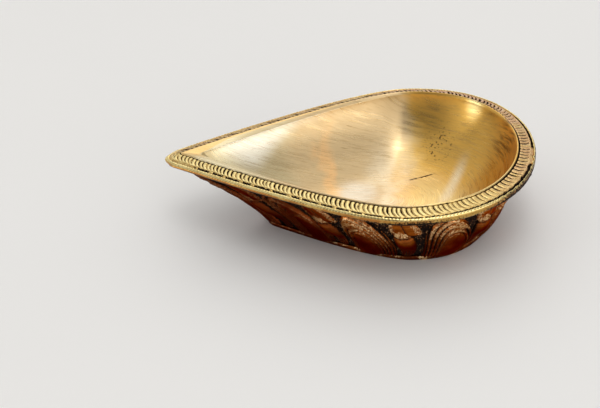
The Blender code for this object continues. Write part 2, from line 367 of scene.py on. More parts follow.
def ring_uv_along(rings, length):
    """Grain places for rings: along the ring in millimetres, and across by profile length."""
    columns = rings.shape[1]
    steps = np.linalg.norm(np.diff(rings, axis=0), axis=-1).mean(axis=1)
    across = np.concatenate(([0], np.cumsum(steps)))
    along = np.arange(columns + 1) / columns * length
    return np.stack(np.broadcast_arrays(along[None, :], across[:, None]), axis=-1)


# ---------------- materials


def is_socket(value):
    return isinstance(value, bpy.types.NodeSocket)


def set_inputs(tree, node, inputs):
    """Links a node's inputs where they are sockets and sets them elsewhere."""
    for key, value in inputs.items():
        if is_socket(value):
            tree.links.new(value, node.inputs[key])
        else:
            node.inputs[key].default_value = value


def add_node(tree, kind, inputs=(), output=0, **settings):
    """A new shader node's output."""
    made = tree.nodes.new("ShaderNode" + kind)
    for setting, value in settings.items():
        setattr(made, setting, value)
    set_inputs(tree, made, dict(inputs))
    return made.outputs[output]


def noise(tree, vector, scale, detail=3.0, roughness=0.55):
    inputs = {"Vector": vector, "Scale": scale, "Detail": detail, "Roughness": roughness}
    return add_node(tree, "TexNoise", inputs)


def ramp(tree, value, low, high, to_low=0.0, to_high=1.0):
    inputs = {0: value, 1: low, 2: high, 3: to_low, 4: to_high}
    return add_node(tree, "MapRange", inputs, interpolation_type="SMOOTHSTEP")


def add_math(tree, operation, first, second):
    return add_node(tree, "Math", {0: first, 1: second}, operation=operation)


def times(tree, first, second):
    return add_math(tree, "MULTIPLY", first, second)


def plus(tree, first, second):
    return add_math(tree, "ADD", first, second)


def mix(tree, factor, first, second):
    """A mix of two colours; a colour is a socket or three numbers."""
    first, second = (c if is_socket(c) else (*c, 1) for c in (first, second))
    inputs = {0: factor, 6: first, 7: second}
    return add_node(tree, "Mix", inputs, output=2, data_type="RGBA")


def add_layers(tree, tone, layers):
    """Lays colours over a tone in order; each layer is how much it covers, and its colour."""
    for cover, colour in layers:
        tone = mix(tree, cover, tone, colour)
    return tone


def add_glint(tree, value, centre, width, most):
    """Rises to most where the value is at its centre and falls to 0 this far on either side."""
    away = add_math(tree, "ABSOLUTE", add_math(tree, "SUBTRACT", value, centre), 0.0)
    return ramp(tree, away, width, 0.0, 0.0, most)


def add_mark(tree, name, output=2):
    return add_node(tree, "Attribute", output=output, attribute_name=name)


def millimetres(tree):
    """The point's place on the lamp, in millimetres."""
    place = add_node(tree, "TexCoord", output=3)
    return add_node(tree, "Mapping", {"Vector": place, "Scale": (1000, 1000, 1000)})


def grain_noise(tree, along, across, detail=3.0, roughness=0.6):
    """Noise on the grain map, with its along and across directions scaled."""
    uv = add_node(tree, "UVMap", uv_map="grain_map")
    place = add_node(tree, "Mapping", {"Vector": uv, "Scale": (along, across, 1)})
    return noise(tree, place, 1.0, detail, roughness)


def start_material(name):
    """A metal material, its tree and shader, and the place on the lamp."""
    material = bpy.data.materials.new(name)
    material.use_nodes = True
    tree = material.node_tree
    shader = tree.nodes["Principled BSDF"]
    shader.inputs["Metallic"].default_value = 1.0
    return material, tree, shader, millimetres(tree)


def add_bump(tree, height, distance):
    inputs = {"Height": height, "Distance": distance * MM, "Strength": 1.0}
    return add_node(tree, "Bump", inputs)


def add_black(tree, shader, grit, waver, low, high, metallic, specular):
    """The patina and painted shade, and how black they make the metal, which loses its shine there.
    """
    ragged = ramp(tree, grit, 0.3, 0.7, -waver, waver)
    patina_and_shade = plus(tree, add_mark(tree, "patina_and_shade"), ragged)
    dark = ramp(tree, patina_and_shade, low, high)
    metal = ramp(tree, dark, 0.0, 1.0, 1.0, metallic)
    shine = ramp(tree, dark, 0.0, 1.0, 0.5, specular)
    set_inputs(tree, shader, {"Metallic": metal, "Specular IOR Level": shine})
    return patina_and_shade, dark


def separate(tree, place, axis):
    return add_node(tree, "SeparateXYZ", {0: place}, output=axis)


def add_line(tree, place, toward_x, toward_y):
    """How far the point lies along this direction."""
    inputs = {0: place, 1: (toward_x, toward_y, 0)}
    return add_node(tree, "VectorMath", inputs, output=1, operation="DOT_PRODUCT")


def spot(tree, place, centre, radius, most=1.0):
    """A round mark: most at its centre and 0 at its radius."""
    flat = add_node(tree, "VectorMath", {0: place, 1: (1, 1, 0)}, operation="MULTIPLY")
    away = add_node(tree, "VectorMath", {0: flat, 1: (*centre, 0)}, output=1, operation="DISTANCE")
    return ramp(tree, away, radius, radius * 0.3, 0.0, most)


BASIN_TONES_AND_PAINTED_LIGHT = (
    # where each colour starts and is full, along the basin, and the colour: the brass's tone with a
    # pale painted highlight near the tip and a painted gold reflection towards the round end
    (-52.0, -46.0, (0.84, 0.74, 0.48)),
    (-44.0, -30.0, (0.70, 0.58, 0.35)),
    (-28.0, -16.0, (0.75, 0.56, 0.31)),
    (15.0, 29.0, (0.88, 0.66, 0.28)),
)


def add_stripe(tree, place, glint, centre, radius):
    """A soft stripe kept inside a round spot; glint is its value, middle, width and most."""
    return times(tree, add_glint(tree, *glint), spot(tree, place, centre, radius))


def add_basin_tone_and_painted_light(tree, place, drift):
    """The brass's tone along the basin with painted light: painted shade and a pale painted highlight
    at the tip, a warm painted reflection in the middle, a white painted highlight band, painted gold
    reflections towards the round end, and painted highlights, a painted sheen and a painted dark
    patch laid over it.
    """
    # Painted shade on the very tip.
    tone = (0.50, 0.39, 0.20)
    for start, full, colour in BASIN_TONES_AND_PAINTED_LIGHT:
        tone = mix(tree, ramp(tree, drift, start, full), tone, colour)
    # Painted gold reflection towards the round end, as of light bounced inside the basin.
    painted_reflection_diagonal = ramp(tree, add_line(tree, place, 1.0, 0.9), 31.0, 48.0)
    deep = times(tree, painted_reflection_diagonal, ramp(tree, drift, 17.0, 27.0))
    # Place across the painted sheen stripe.
    painted_sheen_across = add_line(tree, place, 0.936, -0.356)
    # Layers of painted light: a painted dark patch on the pointed side, a warm painted reflection, a
    # white painted highlight band, a painted highlight, the painted gold reflection, a painted
    # highlight high on the round end and a painted sheen stripe.
    layers = (
        (spot(tree, place, (-29, 5), 14, 0.65), (0.57, 0.47, 0.27)),
        (add_stripe(tree, place, (drift, -8.0, 6.0, 0.9), (-8, 8), 24), (1.0, 0.62, 0.28)),
        (add_stripe(tree, place, (drift, 13.0, 7.0, 0.75), (13, 2), 32), (0.95, 0.84, 0.62)),
        (spot(tree, place, (32, 15), 8, 0.6), (0.96, 0.79, 0.46)),
        (deep, (0.82, 0.49, 0.11)),
        (spot(tree, place, (47, 31), 6, 0.8), (0.97, 0.84, 0.42)),
        (add_stripe(tree, place, (painted_sheen_across, 31.5, 3.5, 0.8), (36, 6), 17), (0.93, 0.80, 0.55)),
    )
    return add_layers(tree, tone, layers)


def brushed_brass():
    """The basin: brushed brass with streaks, a few pits, one long scratch and a dull scuff, over a
    tone with painted reflections, highlights and shade.
    """
    material, tree, shader, place = start_material("brushed_brass")
    fine = grain_noise(tree, 0.17, 2.8, 4.0)
    broad = grain_noise(tree, 0.06, 1.0)
    hair = grain_noise(tree, 0.16, 3.4, 2.0, 0.55)
    stain = noise(tree, place, 0.07, 3.0)
    grit = noise(tree, place, 1.1, 3.0, 0.6)
    drift = plus(tree, separate(tree, place, 0), ramp(tree, stain, 0.3, 0.7, -3.5, 3.5))
    streaks = plus(tree, times(tree, fine, 0.6), times(tree, broad, 0.4))
    scuff = spot(tree, place, (57, 9), 10, 0.85)
    tarnish = times(tree, scuff, ramp(tree, streaks, 0.60, 0.40))
    pitted = times(tree, spot(tree, place, (32, 26), 8), ramp(tree, grit, 0.585, 0.64))
    across = add_line(tree, place, -0.26, 0.966)
    score = add_stripe(tree, place, (across, 6.6, 0.5, 2.0), (25, 13.6), 6)
    score = times(tree, score, ramp(tree, grit, 0.38, 0.50))
    layers = (
        (spot(tree, place, (3, 4), 10, 0.7), (0.86, 0.82, 0.72)),
        # Painted highlight high on the far wall.
        (times(tree, add_mark(tree, "painted_highlight"), 0.85), (1.0, 0.96, 0.82)),
        (add_mark(tree, "ledge"), (0.88, 0.60, 0.24)),
        (ramp(tree, streaks, 0.54, 0.36, 0.0, 0.42), (0.44, 0.28, 0.11)),
        (ramp(tree, hair, 0.66, 0.74, 0.0, 0.6), (0.30, 0.18, 0.07)),
        (tarnish, (0.24, 0.14, 0.045)),
        (pitted, (0.10, 0.045, 0.02)),
        (score, (0.05, 0.02, 0.01)),
        (add_mark(tree, "patina_and_shade"), (0.05, 0.03, 0.015)),
    )
    height = plus(tree, times(tree, fine, 0.7), hair)
    height = add_math(tree, "SUBTRACT", height, plus(tree, pitted, score))
    inputs = {
        "Base Color": add_layers(tree, add_basin_tone_and_painted_light(tree, place, drift), layers),
        "Roughness": ramp(tree, broad, 0.35, 0.65, 0.25, 0.36),
        "Normal": add_bump(tree, height, 0.014),
        "Tangent": add_mark(tree, "grain", output=1),
        "Anisotropic": 0.7,
        "Anisotropic Rotation": 0.25,
    }
    set_inputs(tree, shader, inputs)
    return material


def rim_brass(name, colours, stretch, roughness, bump):
    """Golden brass with tool marks along the rim, black patina and painted shade where it is marked,
    pale wear with painted highlights and a coppery blush that is partly painted shade.
    """
    pale, deep, copper_and_shade = colours
    material, tree, shader, place = start_material(name)
    marks = grain_noise(tree, *stretch)
    grit = noise(tree, place, 1.6, 4.0, 0.65)
    cloud = noise(tree, place, 0.22, 3.0)
    rubbed_and_highlight = times(tree, add_mark(tree, "worn_and_highlight"), ramp(tree, grit, 0.30, 0.55))
    blush_and_shade = times(tree, add_mark(tree, "blush_and_shade"), ramp(tree, cloud, 0.25, 0.60))
    patina_and_shade, dark = add_black(tree, shader, grit, 0.3, 0.35, 0.75, 0.35, 0.1)
    layers = (
        (ramp(tree, marks, 0.36, 0.64), pale),
        (ramp(tree, cloud, 0.45, 0.7, 0.0, 0.6), deep),
        (rubbed_and_highlight, (0.95, 0.80, 0.38)),
        (blush_and_shade, copper_and_shade),
        (dark, (0.018, 0.009, 0.004)),
    )
    inputs = {
        "Base Color": add_layers(tree, deep, layers),
        "Roughness": ramp(tree, patina_and_shade, 0.2, 0.9, roughness, 0.7),
        "Normal": add_bump(tree, plus(tree, marks, grit), bump),
    }
    set_inputs(tree, shader, inputs)
    return material


def antique_brass():
    """The body: orange-brown brass, black in its hollows and rubbed pale on its ridges.

    It has painted shade low down and a painted shadow towards the pointed end, and its pale wear
    carries painted highlights near the tops of the petals.
    """
    material, tree, shader, place = start_material("antique_brass")
    cloud = noise(tree, place, 0.16, 4.0, 0.6)
    grit = noise(tree, place, 1.5, 4.0, 0.65)
    stipple = add_node(tree, "TexVoronoi", {"Vector": place, "Scale": 1.5, "Randomness": 1.0})
    # Painted shadow towards the pointed end: 1 away from it, falling towards the tip.
    painted_shadow_towards_tip = ramp(tree, separate(tree, place, 0), -20.0, 6.0, 0.13, 1.0)
    # Painted light by height: brighter orange higher up, painted shade low down.
    rise = ramp(tree, separate(tree, place, 2), 8.0, 19.5, 0.0, 0.6)
    lit = plus(tree, rise, ramp(tree, cloud, 0.35, 0.65, 0.0, 0.4))
    wear_and_highlight = ramp(tree, grit, 0.35, 0.65, -0.35, 0.35)
    wear_and_highlight = ramp(tree, plus(tree, add_mark(tree, "worn_and_highlight"), wear_and_highlight), 0.25, 0.85)
    flat = add_node(tree, "Mapping", {"Vector": place, "Scale": (0.14, 0.14, 1.3)})
    streaks = noise(tree, flat, 1.0, 4.0, 0.6)
    patina_and_shade, dark = add_black(tree, shader, grit, 0.25, 0.3, 0.8, 0.4, 0.08)
    layers = (
        (times(tree, lit, painted_shadow_towards_tip), (0.56, 0.165, 0.030)),
        (ramp(tree, streaks, 0.60, 0.40, 0.0, 0.5), (0.10, 0.016, 0.004)),
        (times(tree, wear_and_highlight, painted_shadow_towards_tip), (0.84, 0.55, 0.27)),
        (dark, (0.010, 0.006, 0.005)),
    )
    pits = times(tree, stipple, add_mark(tree, "rough"))
    inputs = {
        "Base Color": add_layers(tree, (0.10, 0.014, 0.003), layers),
        "Roughness": ramp(tree, patina_and_shade, 0.1, 0.9, 0.30, 0.62),
        "Normal": add_bump(tree, plus(tree, times(tree, grit, 0.35), pits), 0.16),
        "Specular Tint": (0.50, 0.20, 0.07, 1),
    }
    set_inputs(tree, shader, inputs)
    return material


def pale_floor():
    material, tree, shader, place = start_material("pale_floor")
    shade = noise(tree, place, 0.004, 2.0)
    tone = mix(tree, shade, (0.86, 0.86, 0.86), (0.90, 0.90, 0.895))
    set_inputs(tree, shader, {"Base Color": tone, "Metallic": 0.0, "Roughness": 0.8})
    return material


# ---------------- basin

BASIN_COLUMNS = 600
DISH_RINGS, COLLAR_RINGS, UNDER_RINGS = 70, 9, 14
RING_EASE, CREST_EASE = 1.7, 1.35
CREST_OFFSET = -0.5
CREST_PROFILE = (
    # out from the inner groove, down from the crest's top
    (-0.36, 0.02),
    (-0.20, 0.04),
    (-0.09, 0.14),
    (-0.03, 0.36),
    (0.0, 0.7),
)
FAN_POWER, NARROWEST_FAN = 0.55, 6.0
ROUND_REACH = (GROOVE_ROUND_X - BASIN_POLE_X) / GROOVE_HALF_WIDTH


def half_width_at(x):
    """The basin edge's half width at each x."""
    loop = BASIN_EDGE.loop()
    near = loop[: len(loop) // 2 + 1]
    before = near[near[:, 0] <= WIDEST_X]
    return np.interp(x, before[:, 0], -before[:, 1])


def grain_of(points, side):
    """Places along and across the brushing, which fans from the tip and turns round the far end."""
    x = points[..., 0] - BASIN_POLE_X
    fan = half_width_at(BASIN_POLE_X) / np.maximum(half_width_at(points[..., 0]), NARROWEST_FAN)
    y = np.abs(points[..., 1]) * np.maximum(fan, 1) ** FAN_POWER
    beyond = np.maximum(x, 0) / ROUND_REACH
    across = np.hypot(beyond, y)
    turn = np.arctan2(y, beyond)
    along = side * (across * turn + np.maximum(-x, 0))
    return np.stack((along, across), axis=-1)


def brushing_direction(points):
    """Unit vectors along the brushing."""
    place_x, y = points[..., 0], points[..., 1]
    x = place_x - BASIN_POLE_X
    turned = x > 0
    slope = 0.5 * (half_width_at(place_x + 1) - half_width_at(place_x - 1))
    width = np.maximum(half_width_at(place_x), NARROWEST_FAN)
    along_x = np.where(turned, y * ROUND_REACH, 1.0)
    along_y = np.where(turned, -x / ROUND_REACH, FAN_POWER * y * slope / width)
    sign = np.where(turned & (y < 0), -1.0, 1.0)
    direction = np.stack((along_x * sign, along_y * sign, np.zeros_like(x)), axis=-1)
    return direction / np.maximum(np.linalg.norm(direction, axis=-1, keepdims=True), 1e-6)


def basin_rings(places):
    """Rings from the basin's middle up to its crest, out under the band and back to its middle."""
    inside_depth = RIM_HEIGHT - BASIN_EDGE_DROP - BASIN_FLOOR
    crest = rim_outline(CREST_OFFSET)
    edge = BASIN_EDGE.blend(crest, 0.5, -0.3)
    rings = []
    for share in 1 - (1 - np.linspace(0.006, 1.0, DISH_RINGS)) ** RING_EASE:
        outline, z = dish_outline(edge, inside_depth, share)
        rings.append(outline.at(places, z))
    for share in np.linspace(0.06, 1.0, COLLAR_RINGS):
        rise = (BASIN_EDGE_DROP + CREST_HEIGHT) * (1 - (1 - share) ** CREST_EASE)
        outline = edge.blend(crest, share, share)
        rings.append(outline.at(places, RIM_HEIGHT - BASIN_EDGE_DROP + rise))
    for offset, drop in CREST_PROFILE:
        rings.append(rim_outline(offset).at(places, RIM_HEIGHT + CREST_HEIGHT - drop))
    rings.append(rim_outline(0.02).at(places, rim_z(0.0) - CHANNEL_DEPTH))
    flange = rim_outline(FLANGE_OFFSET)
    rings.append(flange.at(places, rim_z(FLANGE_OFFSET) - CHANNEL_DEPTH))
    under_z = WALL_TOP + UNDER_GAP
    rings.append(flange.at(places, under_z))
    outside_edge = BASIN_EDGE.grown(SIDE_THICKNESS)
    for share in 1 - (1 - np.linspace(0.9, 0.01, UNDER_RINGS)) ** RING_EASE:
        outline, z = dish_outline(outside_edge, inside_depth + FLOOR_THICKNESS, share)
        if z < under_z - 0.3:
            rings.append(outline.at(places, z))
    return np.array(rings)


def build_basin(material):
    places = places_round(BASIN_COLUMNS, tip_crowding=0.5)
    rings = basin_rings(places)
    wrapped = np.concatenate((rings, rings[:, :1]), axis=1)
    near = np.arange(BASIN_COLUMNS + 1) < BASIN_COLUMNS // 2
    uv = grain_of(wrapped, np.where(near, -1.0, 1.0)[None, :])
    top = rings[..., 2].mean(axis=1).argmax()
    row = np.arange(len(rings))
    patina_and_shade = np.where(row > top + 4, 1.0, 0.0)[:, None] * np.ones(len(places))
    round_end = smooth(places, 0.36, 0.42)
    ragged = 0.65 - 0.25 * smooth(places, 0.22, 0.30) + 0.6 * wobble(places, 150, 17, 40)
    ragged = np.maximum(np.clip(ragged, 0, 1), round_end)
    patina_and_shade[top + 3] = ragged * (0.15 + 0.5 * round_end)
    patina_and_shade[top + 4] = ragged
    x, y = rings[..., 0], rings[..., 1]
    out = ((row - DISH_RINGS) / COLLAR_RINGS)[:, None]
    start = 0.6 * smooth(x, -48, -38)
    ledge = 0.85 * smooth(out, start, start + 0.12) * (1 - smooth(x, -8, 8)) * smooth(y, -4, 1)
    height = (row / DISH_RINGS)[:, None] - 0.26 * smooth(x, -34, -14)
    # A painted near-white highlight high on the far wall, towards the tip.
    painted_highlight = smooth(height, 0.60, 0.80) * (out < 0) * smooth(y, 2, 8) * (1 - smooth(x, -18, 2))
    marks = {"patina_and_shade": patina_and_shade, "ledge": ledge, "painted_highlight": painted_highlight, "grain": brushing_direction(rings)}
    return loft("basin", rings, False, material, ["bowl"], marks, uv)


# ---------------- crescent band

CRESCENTS = 186
SLIT_SAMPLES = (0.0, 0.12, 0.3, 0.5, 0.7, 0.88)
SLIT_DEPTH = 0.65
SLIT_SWEEP = (0.25, -1.3, 3.1)
NARROW_BAND, BAND_SPREAD = 3.05, 1.05
FAR_SIDE_DARKENING = 0.52
BAND_STEPS = ((0, 0.15, 4), (0.24, 0.84, 9), (0.90, 1.0, 4))
GROOVE_PROFILE = (
    # share of the groove's width, share of its depth, how black it is
    (0.0, 0.02, 0.4),
    (0.10, 0.75, 1.0),
    (0.5, 1.0, 1.0),
    (1.0, 1.0, 1.0),
)


def far_side(turn):
    """1 along the side away from the viewer, where the slits run right across the band."""
    return between(turn, 0.52, 0.60, 0.985, 0.999)


def band_inner(turn):
    """The offset of the band's inner edge: an uneven gap beside the basin's crest."""
    return 0.12 + 0.05 * wobble(turn, 150, 13, 40) + 0.33 * bump_at(turn, 0.5, 0.09)


def groove_inner(turn):
    """The offset where the outer groove begins: nearer the crest towards the tip."""
    return NARROW_BAND + BAND_SPREAD * (smooth(turn, 0.14, 0.29) - smooth(turn, 0.97, 1.0))


def groove_dashes(turn):
    """How deep the groove outside the band is cut, from 0 on its bridges to 1."""
    rng = np.random.default_rng(21)
    cut = np.zeros_like(turn)
    travel = 0.0
    while travel < RIM_LENGTH:
        dash = rng.uniform(3.0, 6.5)
        gap = rng.uniform(0.5, 1.4)
        start, end = travel / RIM_LENGTH, (travel + dash) / RIM_LENGTH
        edge = 0.35 / RIM_LENGTH
        cut = np.maximum(cut, between(turn, start, start + edge, end - edge, end))
        travel += dash + gap
    joined = smooth(turn, 0.30, 0.34) * (1 - 0.45 * bump_at(turn, 0.345, 0.04))
    cut = np.maximum(cut, joined * (0.75 + 0.25 * wobble(turn, 120, 4, 30)))
    cut = cut * (1 - 0.9 * bump_at(turn, 0.478, 0.022))
    cut = cut * (1 - 0.9 * between(turn, 0.54, 0.58, 0.96, 0.99))
    broken = bump_at(turn, 0.50, 0.05) * smooth(wobble(turn, 60, 9, 12), 0.1, 0.6)
    off_tip = between(turn, 0.030, 0.045, 0.955, 0.97)
    return np.clip(cut * (1 - 0.8 * broken) * off_tip, 0, 1)


def groove_width(turn):
    """The outer groove's width in millimetres: widest at the near right of the round end."""
    ragged = 0.75 + 0.8 * wobble(turn, 150, 8, 50)
    return 0.62 - 0.25 * far_side(turn) + 0.6 * bump_at(turn, 0.432, 0.045) * ragged


def slit_form(start, across):
    """The form of the slit at this place: it changes as one goes round the rim.

    Gives its width and its depth for each step across the band, as shares, then how much its
    own random width counts, what is added to that, and the least that its depth may be.
    """
    far = far_side(start)
    bold = between(start, 0.36, 0.42, 0.50, 0.56)
    low = between(start, 0.25, 0.29, 0.34, 0.39)
    fine = (1 - smooth(start, 0.10, 0.18)) * (1 - far)
    narrowing = (0.75 - 0.50 * far - 0.25 * bold - 0.35 * low) * across**1.6
    pinch = (0.42 + 0.18 * low) * (1 - far) * (1 - smooth(across, 0.0, 0.36))
    taper = (1 - narrowing) * (1 - pinch)
    fade = 1 - smooth(across, 0.72 + 0.16 * far + 0.06 * bold, 0.95 + 0.05 * far)
    own = 1 - 0.3 * between(start, 0.27, 0.31, 0.38, 0.42)
    added = 0.16 * far + 0.20 * bold + 0.07 * fine
    return taper, fade, own, added, SLIT_DEPTH * max(far, 0.8 * bold)


def band_surface(across):
    """Place, drop, patina and wear of the crescents' top: one column for each sample."""
    rng = np.random.default_rng(7)
    pitches = rng.uniform(0.84, 1.16, CRESCENTS)
    pitches = pitches * (1 + 0.25 * bump_at(np.arange(CRESCENTS) / CRESCENTS, 0.45, 0.11))
    edges = np.concatenate(([0], np.cumsum(pitches))) / pitches.sum()
    slit_share = rng.uniform(0.24, 0.52, CRESCENTS)
    slit_depth = SLIT_DEPTH * rng.choice([0.3, 0.6, 1.0, 1.0], CRESCENTS)
    bend = rng.uniform(0.7, 1.3, CRESCENTS)
    columns = CRESCENTS * 2 * len(SLIT_SAMPLES)
    place, drop, stain, worn_and_highlight = np.zeros((4, len(across), columns))
    level, slope, curve = SLIT_SWEEP
    sweep = (level + slope * across + curve * across**2) / RIM_LENGTH
    column = 0
    for k in range(CRESCENTS):
        start, width = edges[k], edges[k + 1] - edges[k]
        taper, fade, own, added, least = slit_form(start, across)
        slit = (slit_share[k] * own + added) * taper
        for q in SLIT_SAMPLES:
            place[:, column] = start + width * slit * q + sweep * bend[k]
            cut = max(slit_depth[k], least) * min(4 * min(q, 1 - q), 1.0) ** 0.7 * fade
            drop[:, column] = cut + 0.05
            stain[:, column] = np.clip(cut / SLIT_DEPTH * 2.2, 0, 1)
            column += 1
        for q in SLIT_SAMPLES:
            place[:, column] = start + width * (slit + (1 - slit) * q) + sweep * bend[k]
            drop[:, column] = 0.16 * abs(2 * q - 1) ** 3 * fade
            worn_and_highlight[:, column] = 1 - abs(2 * q - 1) ** 2
            column += 1
    drop += 0.14 * (1 - smooth(across, 0.0, 0.10))[:, None]
    drop += 0.05 * wobble(place, 60, 12, 12)
    return place, drop, stain, worn_and_highlight


def build_band(material):
    across = np.concatenate([np.linspace(*steps) for steps in BAND_STEPS])
    place, drop, stain, worn_and_highlight = band_surface(across)
    turn = np.mod(place, 1)
    inner = band_inner(turn)
    offsets = inner + (groove_inner(turn) - 0.1 - inner) * across[:, None]
    # The inner part of the band is darker along the far side.
    stain = np.maximum(stain, FAR_SIDE_DARKENING * far_side(turn) * (1 - smooth(offsets, 1.1, 1.5)))
    worn_and_highlight = worn_and_highlight * (1 - 0.7 * bump_at(turn, 0.55, 0.14)) * (1 - 0.7 * smooth(turn, 0.26, 0.40))
    last, last_turn = place[-1], turn[-1]
    cut, width = groove_dashes(last_turn), groove_width(last_turn)
    rings = list(rim_points(place, offsets, rim_z(offsets) - drop))
    patina_and_shade = list(stain)
    chewed = 0.03 + 0.22 * bump_at(last_turn, 0.44, 0.06)
    start = groove_inner(last_turn) + chewed * wobble(last, 140, 3, 40)
    for reach, sink, black in GROOVE_PROFILE:
        offset = start + width * reach
        rings.append(rim_points(last, offset, rim_z(offset) - (0.04 + 0.95 * cut) * sink))
        patina_and_shade.append(black * smooth(cut, 0.15, 0.5))
    outside = start + width + 0.4
    underneath = (
        (last, outside, 1.25),
        (last, outside, 1.6),
        (place[0], inner[0] - 0.06, 1.1),
        (place[0], inner[0] - 0.04, 0.45),
    )
    for where, offset, down in underneath:
        rings.append(rim_points(where, offset, rim_z(offset) - down))
        patina_and_shade.append(np.ones(len(last)))
    rings, patina_and_shade = np.array(rings), np.array(patina_and_shade)
    patina_and_shade[0] = np.maximum(patina_and_shade[0], np.clip(0.3 + 0.8 * wobble(place[0], 150, 17, 40), 0, 1))
    no_wear = np.zeros((len(rings) - len(across), len(last)))
    blush_and_shade = 0.5 * between(last_turn, 0.36, 0.46, 0.66, 0.80) + 0.40 * far_side(last_turn)
    marks = {
        "patina_and_shade": patina_and_shade,
        "worn_and_highlight": np.concatenate((worn_and_highlight, no_wear)),
        "blush_and_shade": np.broadcast_to(blush_and_shade, patina_and_shade.shape),
    }
    uv = ring_uv_along(rings, RIM_LENGTH)
    return loft("rim_band", rings, True, material, ["crescent_band"], marks, uv)


# ---------------- polished lip

LIP_COLUMNS = 2400
LIP_GAP, LIP_THINNING = 0.08, 0.45
LIP_TOP_Z = rim_z(4.55) + 0.06
HATCH_PITCH, HATCH_DEPTH, HATCH_SLANT = 1.1, 0.13, 1.1
LIP_PROFILE = (
    # out from the lip's inner edge, down from its top
    (0.00, 2.2),
    (0.00, 0.9),
    (0.02, 0.22),
    (0.10, 0.05),
    (0.20, 0.0),
    (0.32, 0.02),
    (0.50, 0.09),
    (0.68, 0.20),
    (0.84, 0.38),
    (0.94, 0.62),
    (1.00, 0.95),
    (1.00, 1.40),
    (0.97, 1.80),
    (0.90, 2.05),
    (0.76, 2.25),
    (0.40, 2.3),
)


def build_lip(material):
    """The rolled lip: hatched on top, with painted shade on its side, underneath and on part of its
    top, a pale top that is partly painted highlight, and thinner towards the tip.
    """
    turn = places_round(LIP_COLUMNS)
    inner = groove_inner(turn) + LIP_GAP + groove_width(turn) + 0.035 * wobble(turn, 200, 31, 60)
    dent = 0.04 * wobble(turn, 46, 33, 8)
    nick = 0.05 * wobble(turn, 160, 35, 50)
    strength = np.clip(0.6 + 0.5 * wobble(turn, 30, 37, 5), 0, 1)
    thin = 1 - between(turn, 0.16, 0.30, 0.70, 0.84)
    narrow = thin * (0.3 + 0.7 * between(turn, 0.01, 0.04, 0.96, 0.99))
    # Rolled keeps a short stretch of the side free of painted shade, left light as a painted
    # highlight.
    rolled = 1 - 0.75 * bump_at(turn, 0.35, 0.035)
    # Painted shade on the lip's side in two places on the near side, towards the round end.
    side_shade = 0.50 * bump_at(turn, 0.30, 0.035) + 0.75 * bump_at(turn, 0.44, 0.08)
    # Painted shade on part of the lip's top about the round end.
    top_shade = 0.62 * between(turn, 0.37, 0.40, 0.49, 0.53)
    rings, patina_and_shade, worn_and_highlight, blush_and_shade = [], [], [], []
    for out, down in LIP_PROFILE:
        offset = inner + (LIP_OFFSET - LIP_THINNING * narrow - inner) * out
        crown = 1 - smooth(down, 0.0, 0.9)
        facet = smooth(out, 0.02, 0.2) * (1 - smooth(down, 0.40, 0.70))
        side = smooth(down, 0.45, 0.80)
        along = turn * RIM_LENGTH / HATCH_PITCH + HATCH_SLANT * (offset - LIP_OFFSET)
        stroke = np.sin(2 * np.pi * along)
        hatch = HATCH_DEPTH * facet * strength * np.clip(stroke, -0.3, 1)
        fall = min(down, 0.5) + max(down - 0.5, 0) * (1 - LIP_THINNING * thin)
        height = LIP_TOP_Z - fall - (dent + nick) * crown * 0.5 - hatch
        rings.append(rim_points(turn, offset - 0.02 * np.abs(dent), height))
        # The pale top facet is partly wear and partly painted highlight; the hatch strokes are less
        # pale.
        worn_and_highlight.append(facet * (1.0 - 0.7 * strength * np.clip(stroke, 0, 1)))
        # The coppery blush on the lip's side is painted shade.
        blush_and_shade.append(side * rolled)
        # Painted shade under the lip; with the side and top shade it is stored with the patina.
        under = 0.5 * smooth(down, 1.25, 1.9) * rolled
        shade = np.maximum(side * side_shade + under, top_shade * smooth(out, 0.3, 0.5))
        patina_and_shade.append(np.maximum(shade, 1.0 if out < 0.01 else 0.0))
    rings = np.array(rings)
    uv = ring_uv_along(rings, RIM_LENGTH)
    marks = {"patina_and_shade": patina_and_shade, "worn_and_highlight": worn_and_highlight, "blush_and_shade": blush_and_shade}
    return loft("rim_lip", rings, True, material, ["outer_lip"], marks, uv)


# ---------------- body and relief

BUD_PLACES = [0.5 + RELIEF_STEP * i for i in range(-BUDS_EACH_SIDE, BUDS_EACH_SIDE + 1)]
PETAL_PLACES = [place + RELIEF_STEP / 2 for place in BUD_PLACES[:-1]]
ARCH_POWER, HIGHEST_CLIMB, SEAT_DEPTH = 2.4, 0.985, 0.35
PETAL_LEAN, PETAL_PANEL, RIDGE_PITCH = 0.24, 0.53, 0.157
WALL_COLUMNS, WALL_ROWS, INNER_WALL_ROWS = 900, 56, 8


@dataclass
class Patch:
    """Where a kind of raised patch lies, as shares of the way down the wall and round it."""

    top: float
    foot: float
    half_share: float
    across: int
    rows: int
    waist: float = 0.0


PETAL = Patch(0.10, 0.985, 0.0355, 85, 61)
KEEL = Patch(0.10, 0.985, 0.044, 95, 61)
BUD = Patch(0.26, 0.985, 0.0185, 37, 49, 0.56)
LEAF = Patch(0.05, 0.36, 0.019, 41, 27)


